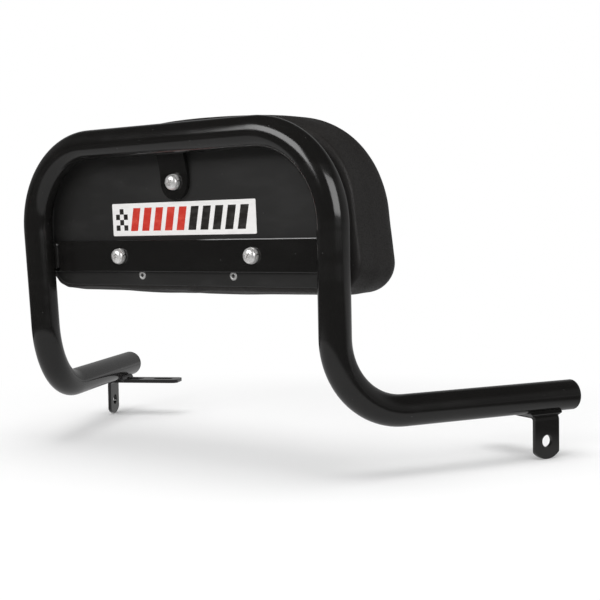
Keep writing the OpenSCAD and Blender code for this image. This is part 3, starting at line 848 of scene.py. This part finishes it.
def makeCushion():
    rings = cushionRings()
    rings = innerRings(rings[0]) + rings
    points, faces = loftMesh(rings)
    world = np.array([tuple(p) for p in placed(points)])
    start, move = swellByCloth(points, faces)
    slide = spreadMove(world, start, move)
    depth = points[:, 1]
    # the back edge stays seated on the plate, and the swell grows in from there
    grow = np.clip((depth - pad["plateFront"] - 2) / 18, 0, 1)[:, None]
    mean = float(np.linalg.norm(slide, axis=1).mean())
    print("stage: cloth moved the skin by", round(mean / mm, 2), "mm on average")
    world = world + slide * grow * sewing["share"]
    cushion = meshPiece("cushion", world, faces)
    faceOut(cushion)
    sewCushion(cushion, points)
    smooth = cushion.modifiers.new("smoothSkin", "SUBSURF")
    smooth.levels = smooth.render_levels = 1
    freeze(cushion)
    cushion.data.shade_smooth()
    finishPiece(cushion, leatherette, "cover", "pad_cover", "pad_foam")


def sewCushion(cushion, points):
    # gathers round the lower corners, the sewn joint and the drawn up hem of the lower edge, and
    # the unevenness of the foam
    count = len(cushion.data.vertices)
    normals, spots = np.zeros(count * 3), np.zeros(count * 3)
    cushion.data.vertices.foreach_get("normal", normals)
    cushion.data.vertices.foreach_get("co", spots)
    lowR = pad["lowCornerR"][0]
    lowV = padBottom + lowR
    lowX = pad["halfW"] - lowR
    hemTop = padBottom + sewing["hemH"]
    slowH, fineH = sewing["uneven"]
    lifts = []
    for x, depth, v in points:
        behind = depth - pad["plateFront"]
        lift = 0.0
        fade = max(0.0, 1 - behind / sewing["gatherReach"]) * min(1, behind / 1.5)
        if v < lowV and abs(x) > lowX:
            turn = math.atan2(lowV - v, abs(x) - lowX)
            along = turn * lowR
            drift = 2.2 * noise.noise(Vector((along * 0.09, 3.1, x * 0.01)))
            wave = math.sin(along / sewing["gatherPitch"] * 2 * math.pi + drift)
            lift += wave * sewing["gatherDepth"] * fade * math.sin(2 * turn)
        if v < padBottom + 6 and behind < 26:
            # sewn joint of the cover, with the small ridge beside it
            away = x - sewing["seamX"]
            lift -= sewing["seamDepth"] * math.exp(-(away / 1.3) ** 2)
            lift += sewing["bulgeH"] * math.exp(-((away - 10) / 8) ** 2) * max(0, 1 - behind / 14)
        if v < hemTop:
            hem = math.exp(-((x - sewing["hemX"]) / sewing["hemHalfW"]) ** 2)
            low = min(1, (hemTop - v) / 15)
            lift -= sewing["hemRise"] * hem * low * min(1, behind / 3) * max(0, 1 - behind / 70)
        slow = noise.noise(Vector((x * 0.018 + 7, depth * 0.03 + 2, v * 0.018 + 5)))
        fine = noise.noise(Vector((x * 0.055 + 1, depth * 0.06 + 9, v * 0.055 + 4)))
        rise = min(1, max(0, behind - 1) / 10)
        edge = abs(v - padMiddle) / (pad["backH"] / 2)
        lifts.append(lift + (slowH * slow + fineH * fine) * rise * (0.5 + 0.5 * edge))
    spots += normals * np.repeat(lifts, 3) * mm
    cushion.data.vertices.foreach_set("co", spots)
    cushion.data.update()


makeCushion()
print("stage: cushion made")

# Screw and rivet places on the hoop, as (across, up along the hoop, turn of the recess)
fasteners = {
    "screws": [(-64.5, 106.18, 22), (64.5, 106.18, 40), (-5.5, 160.18, 63)],
    "rivets": [(-44.5, 91.58, 0), (44.5, 91.58, 35)],
    "screwDepth": 9.55,
    "screwD": 6,
    "screwL": 20,
    "headD": 11.4,
    "headH": 3.9,
    "recessL": 6.6,
    "recessW": 1.6,
    "recessH": 2.2,
    "rivetD": 4.4,
    "rivetHeadD": 6.6,
    "rivetHeadT": 0.9,
    "grip": 8.7,
    "holeD": 7.0,
    "rivetHoleD": 4.6,
    "headLip": 0.9,
    "recessTaper": 0.55,
    "threadFrom": 3.0,
    "threadPitch": 1.0,
    "threadH": 0.45,
}


def spin(name, profile, steps):
    # a closed skin turned about Y; its (radius, depth) pairs begin and end on the axis, or meet
    loop = profile[0][0] > 0
    points, faces = [], []
    for radius, depth in profile:
        points += [(radius * math.cos(a) * mm, depth * mm, radius * math.sin(a) * mm)
                   for a in (2 * math.pi * i / steps for i in range(steps))]
    rows = len(profile)
    for k in range(rows if loop else rows - 1):
        for i in range(steps):
            a, b = k * steps + i, k * steps + (i + 1) % steps
            c, d = (b + steps) % len(points), (a + steps) % len(points)
            faces.append((a, b, c, d))
    piece = meshPiece(name, points, faces)
    work = bmesh.new()
    work.from_mesh(piece.data)
    bmesh.ops.remove_doubles(work, verts=work.verts, dist=1e-7)
    bmesh.ops.recalc_face_normals(work, faces=work.faces)
    work.to_mesh(piece.data)
    work.free()
    faceOut(piece)
    return piece


def makeScrewShape():
    headR, high = fasteners["headD"] / 2, fasteners["headH"]
    lip, taper, pitch = (fasteners[k] for k in ("headLip", "recessTaper", "threadPitch"))
    dome = [(headR * math.sin(a) ** 0.8, -lip - (high - lip) * math.cos(a))
            for a in (math.pi / 2 * i / 12 for i in range(13))]
    shank = fasteners["screwD"] / 2
    profile = dome + [(headR - 0.1, -0.25), (headR - 0.4, 0), (shank, 0)]
    # rolled thread under the first plain millimetres
    depth = fasteners["threadFrom"]
    while depth < fasteners["screwL"] - 1.5:
        profile += [(shank, depth), (shank - fasteners["threadH"], depth + pitch / 2)]
        depth += pitch
    profile += [(shank - 0.5, fasteners["screwL"] - 0.8), (shank - 1.1, fasteners["screwL"]),
                (0, fasteners["screwL"])]
    screw = spin("screwShape", profile, 40)
    cutter = bmesh.new()
    for turn in (0, 90):
        half = Matrix.Rotation(math.radians(turn), 4, "Y")
        size = Matrix.Diagonal((fasteners["recessL"] * mm, fasteners["recessH"] * 2 * mm,
                                fasteners["recessW"] * mm, 1))
        at = Matrix.Translation((0, -(high - 0.1) * mm, 0))
        made = bmesh.ops.create_cube(cutter, size=1, matrix=half @ at @ size)
        # the wings taper to the bottom of the recess
        for vertex in made["verts"]:
            if vertex.co.y > -(high - 0.1) * mm:
                vertex.co.x *= taper
                vertex.co.z *= taper
    cutWith(screw, "recess", cutter)
    softEdges(screw, 0.12, 40)
    return screw


def makeRivetShape():
    holeR, shank = fasteners["rivetD"] / 2 - 0.7, fasteners["rivetD"] / 2
    headR, headT, grip = fasteners["rivetHeadD"] / 2, fasteners["rivetHeadT"], fasteners["grip"]
    rolled = [(holeR, -headT * 0.6), (holeR + 0.25, -headT * 0.92), (holeR + 0.6, -headT),
              (headR - 0.8, -headT * 0.9), (headR - 0.25, -headT * 0.55), (headR, -0.15),
              (headR, -0.02), (shank, -0.02), (shank, grip + 0.02), (headR - 0.4, grip + 0.02),
              (headR - 0.6, grip + headT * 0.7), (holeR + 0.4, grip + headT),
              (holeR, grip + headT * 0.6)]
    return spin("rivetShape", rolled, 32)


def makeSitesTree():
    # one item on each site of the hoop, turned about its own axis and leaned with the hoop
    tree, given, result = newShapeTree("itemsOnSites", {"Item": "Object", "Lean": 0.0,
                                                        "Place": "Vector"})
    item = addNode(tree, "GeometryNodeObjectInfo", {"Object": given["Item"]})
    turn = addNode(tree, "GeometryNodeInputNamedAttribute", {"Name": "turn"}, data_type="FLOAT")
    spun = addNode(tree, "ShaderNodeCombineXYZ", {1: turn.outputs[0]})
    turned = addNode(tree, "FunctionNodeEulerToRotation", {0: spun.outputs[0]})
    put = addNode(tree, "GeometryNodeInstanceOnPoints", {
        "Points": given["Geometry"], "Instance": item.outputs["Geometry"],
        "Rotation": turned.outputs[0]})
    real = addNode(tree, "GeometryNodeRealizeInstances", {0: put.outputs[0]})
    return coatOut(tree, given, result, leanOnto(tree, given, real))


sitesTree = makeSitesTree()


def putOnSites(name, shape, sites, depth, material, slotName, *stands):
    spots = meshPiece(name, [(x * mm, depth * mm, v * mm) for x, v, _ in sites], [])
    turns = spots.data.attributes.new("turn", "FLOAT", "POINT")
    turns.data.foreach_set("value", [math.radians(t) for _, _, t in sites])
    made = runTree(spots, sitesTree, {"Item": shape, "Lean": leanTurn, "Place": place,
                                      "Finish": material})
    bpy.data.objects.remove(shape)
    shadeFlats(made, 38)
    return finishPiece(made, material, slotName, *stands)


putOnSites("screws", makeScrewShape(), fasteners["screws"], fasteners["screwDepth"], brightZinc,
           "zinc", "left_screw", "right_screw", "upper_screw")
putOnSites("rivets", makeRivetShape(), fasteners["rivets"], pad["plateBack"], dullRivet,
           "rivet", "left_rivet", "right_rivet")
print("stage: screws and rivets set")


def makeBackPlate():
    rings = roundedEdge(pad["plateBack"], pad["plateEdgeR"], -pad["plateInset"], 5)
    rings.append((pad["plateFront"], -pad["plateInset"], 1))
    points, faces = loftMesh(rings)
    plate = meshPiece("backPlate", placed(points), faces)
    faceOut(plate)
    holes = bmesh.new()
    spots = [(x, v, fasteners["holeD"]) for x, v, _ in fasteners["screws"]]
    spots += [(x, v, fasteners["rivetHoleD"]) for x, v, _ in fasteners["rivets"]]
    for x, v, wide in spots:
        at = Matrix.Translation(hoopPoint(x, pad["plateBack"] + 0.75, v))
        turn = Matrix.Rotation(math.pi / 2 + leanTurn, 4, "X")
        bmesh.ops.create_cone(holes, cap_ends=True, segments=32, radius1=wide / 2 * mm,
                              radius2=wide / 2 * mm, depth=6 * mm, matrix=at @ turn)
    cutWith(plate, "holes", holes)
    shadeFlats(plate, 40)
    finishPiece(plate, satinSheet, "pan", "back_pan")


makeBackPlate()
print("stage: back plate made")

# Label: white film with a plain print of bars and a chequered field
label = {
    "low": 121.38,
    "high": 145.88,
    "middleX": -2.5,
    "length": 140,
    "filmT": 0.25,
    "printT": 0.06,
    "margin": 3.6,
    "barW": 7.4,
    "barPitch": 11.6,
    "slant": 12,
    "bars": 5,
    "checkers": 4,
    "checkSize": 4.1,
    "checkColumns": 3,
    "fieldGap": 8.2,
    "lift": 0.02,
}


def makePrintTree():
    # boxes on given points, sheared to a slant, then leaned onto the film
    tree, given, result = newShapeTree("printedCells", {
        "Cell": "Vector", "Slant": 0.0, "Lean": 0.0, "Place": "Vector", "Middle": 0.0})
    cell = addNode(tree, "GeometryNodeMeshCube", {"Size": given["Cell"]})
    put = addNode(tree, "GeometryNodeInstanceOnPoints", {"Points": given["Geometry"],
                                                         "Instance": cell.outputs[0]})
    real = addNode(tree, "GeometryNodeRealizeInstances", {0: put.outputs[0]})
    spot = addNode(tree, "GeometryNodeInputPosition")
    parts = addNode(tree, "ShaderNodeSeparateXYZ", {0: spot.outputs[0]})
    rise = calc(tree, "SUBTRACT", parts.outputs[2], given["Middle"])
    shift = calc(tree, "MULTIPLY", rise, calc(tree, "TANGENT", given["Slant"]))
    slide = addNode(tree, "ShaderNodeCombineXYZ", {0: shift})
    sheared = addNode(tree, "GeometryNodeSetPosition", {"Geometry": real.outputs[0],
                                                        "Offset": slide.outputs[0]})
    return coatOut(tree, given, result, leanOnto(tree, given, sheared))


def makeLabel():
    finishPiece(softCopy("labelFilm", "label", 0.04), labelFilm, "label", "label")
    tree = makePrintTree()
    middle = (label["low"] + label["high"]) / 2
    left = label["middleX"] - label["length"] / 2 + label["margin"]
    depth = pad["plateBack"] - label["filmT"] - label["lift"] - label["printT"] / 2
    tall = label["high"] - label["low"] - 2 * label["margin"]
    check, columns = label["checkSize"], label["checkColumns"]
    fields = [(left + (i + 0.5) * check, middle + (j - (label["checkers"] - 1) / 2) * check)
              for i in range(columns) for j in range(label["checkers"]) if (i + j) % 2 == 0]
    firstBar = left + columns * check + label["fieldGap"]
    bars = [[(firstBar + (k * label["bars"] + i) * label["barPitch"], middle)
             for i in range(label["bars"])] for k in (0, 1)]
    rows = [("labelChecks", fields, (check, check), 0, blackInk),
            ("labelRedBars", bars[0], (label["barW"], tall), label["slant"], redInk),
            ("labelBlackBars", bars[1], (label["barW"], tall), label["slant"], blackInk)]
    for name, spots, (wide, high), slant, ink in rows:
        dots = meshPiece(name, [(x * mm, depth * mm, v * mm) for x, v in spots], [])
        cells = runTree(dots, tree, {
            "Cell": Vector((wide, label["printT"], high)) * mm, "Slant": math.radians(slant),
            "Lean": leanTurn, "Place": place, "Middle": middle * mm, "Finish": ink})
        finishPiece(cells, ink, "label")


makeLabel()
print("stage: label printed")

# What stays as packed gets its finish
for node, material in {"base_board": plywood, "left_tee_nut": brightZinc,
                       "right_tee_nut": brightZinc, "upper_tee_nut": brightZinc}.items():
    cadNodes[node].data.materials.clear()
    cadNodes[node].data.materials.append(material)

# Studio: a white table under a pale sky, and four lamps, two of them for the gloss alone
studio = {
    "camera": (0.58046, -0.72347, 0.16282),
    "azimuth": 36.30,
    "elevation": 3.03,
    "roll": -0.845,
    "lens": 70.9,
    "tableR": 3.0,
    "whiteMiddle": (-0.12, -0.05, 0.0),
    "whiteR": (0.40, 0.50),
    "tableMirror": 0.5,
    "tableGlow": 0.14,
    "tableFade": (0.28, 0.52),  # from the lit table to plain white
    "farMirror": 0.05,
    "fill": 0.62,
    "behindCamera": 0.04,
    "sides": 0.13,
    "backdrop": 0.3,
    "softboxes": [
        # name, place, width, height, power, and whether it lights gloss alone or all but gloss
        ("leftBox", (-0.48, -1.36, 0.89), 0.97, 0.74, 13.0, True),
        ("rightBox", (1.29, -0.51, 0.66), 1.00, 0.82, 12.0, True),
        ("overhead", (0.1, -0.2, 1.7), 1.2, 1.2, 11.5, False),
        ("front", (0.5, -1.7, 0.8), 1.2, 0.8, 11.5, False),
    ],
    "aim": (0.0, 0.0, 0.15),
}


def addCamera():
    lens = bpy.data.cameras.new("photoCamera")
    lens.lens = studio["lens"]
    lens.sensor_width = 36
    camera = newObject("photoCamera", lens)
    turn = (Matrix.Rotation(math.radians(studio["azimuth"]), 4, "Z")
            @ Matrix.Rotation(math.radians(90 - studio["elevation"]), 4, "X")
            @ Matrix.Rotation(math.radians(studio["roll"]), 4, "Z"))
    camera.matrix_world = Matrix.Translation(studio["camera"]) @ turn
    bpy.context.scene.camera = camera


def addLamps():
    for name, spot, wide, high, power, inGloss in studio["softboxes"]:
        lamp = bpy.data.lights.new(name, "AREA")
        lamp.shape = "RECTANGLE"
        lamp.size, lamp.size_y = wide, high
        lamp.energy = power
        holder = newObject(name, lamp)
        holder.location = spot
        aim = Vector(studio["aim"]) - Vector(spot)
        holder.rotation_euler = aim.to_track_quat("-Z", "Y").to_euler()
        holder.visible_camera = False
        holder.visible_glossy = inGloss
        holder.visible_diffuse = not inGloss


def addTable():
    table = meshPiece("table", [(x * studio["tableR"], y * studio["tableR"], -0.0002)
                                for x, y in ((-1, -1), (1, -1), (1, 1), (-1, 1))], [(0, 1, 2, 3)])
    material = bpy.data.materials.new("whiteTable")
    material.use_nodes = True
    tree = material.node_tree
    tree.nodes.clear()
    spot = addNode(tree, "ShaderNodeTexCoord").outputs["Object"]
    away = addNode(tree, "ShaderNodeVectorMath", {0: spot}, operation="LENGTH").outputs["Value"]
    pale = addNode(tree, "ShaderNodeBsdfDiffuse", {"Color": grey(0.85)})
    glow = addNode(tree, "ShaderNodeEmission", {"Color": grey(1.0),
                                                "Strength": studio["tableGlow"]})
    shown = addNode(tree, "ShaderNodeAddShader", {0: pale.outputs[0], 1: glow.outputs[0]})
    white = addNode(tree, "ShaderNodeEmission", {"Color": grey(1.0), "Strength": 1.0})
    edge = addNode(tree, "ShaderNodeMixShader", {0: ramp(tree, away, *studio["tableFade"]),
                                                 1: shown.outputs[0], 2: white.outputs[0]})
    # gloss shows a small white table, which goes on into the backdrop only behind the object
    depth = addNode(tree, "ShaderNodeSeparateXYZ", {0: spot}).outputs[1]
    off = addNode(tree, "ShaderNodeVectorMath", {0: spot, 1: studio["whiteMiddle"]},
                  operation="DISTANCE").outputs["Value"]
    near = ramp(tree, off, *studio["whiteR"], 1.0, 0.0)
    near = calc(tree, "MAXIMUM", near, ramp(tree, depth, 0.1, 0.6))
    level = ramp(tree, near, 0.0, 1.0, studio["farMirror"], studio["tableMirror"], False)
    mirror = addNode(tree, "ShaderNodeEmission", {"Color": grey(1.0), "Strength": level})
    ray = addNode(tree, "ShaderNodeLightPath").outputs
    plain = addNode(tree, "ShaderNodeBsdfDiffuse", {"Color": grey(0.75)})
    pick = addNode(tree, "ShaderNodeMixShader", {0: ray["Is Glossy Ray"], 1: plain.outputs[0],
                                                 2: mirror.outputs[0]})
    pick = addNode(tree, "ShaderNodeMixShader", {0: ray["Is Camera Ray"], 1: pick.outputs[0],
                                                 2: edge.outputs[0]})
    addNode(tree, "ShaderNodeOutputMaterial", {0: pick.outputs[0]})
    material.cycles.emission_sampling = "NONE"
    table.data.materials.append(material)


def addWorld():
    world = bpy.data.worlds.new("studioWorld")
    bpy.context.scene.world = world
    world.use_nodes = True
    world.cycles.sampling_method = "NONE"
    tree = world.node_tree
    tree.nodes.clear()
    way = addNode(tree, "ShaderNodeTexCoord").outputs["Generated"]
    parts = addNode(tree, "ShaderNodeSeparateXYZ", {0: way}).outputs
    ahead = ramp(tree, parts[1], 0.1, 0.8, studio["sides"], studio["backdrop"])
    behind = ramp(tree, parts[1], -0.75, -0.2, studio["behindCamera"], 1.0)
    low = ramp(tree, parts[2], 0.35, 0.7, 1.0, 0.06)
    mirror = calc(tree, "MULTIPLY", calc(tree, "MULTIPLY", ahead, behind), low)
    ray = addNode(tree, "ShaderNodeLightPath").outputs
    level = addNode(tree, "ShaderNodeMix", {"Factor": ray["Is Glossy Ray"], "A": studio["fill"],
                                            "B": mirror})
    level = addNode(tree, "ShaderNodeMix", {"Factor": ray["Is Camera Ray"], "A": level.outputs[0],
                                            "B": 1.0})
    sky = addNode(tree, "ShaderNodeBackground", {"Color": grey(1.0), "Strength": level.outputs[0]})
    addNode(tree, "ShaderNodeOutputWorld", {0: sky.outputs[0]})


addCamera()
addLamps()
addTable()
addWorld()
bpy.context.scene.view_settings.view_transform = "Standard"
print("stage: studio set")
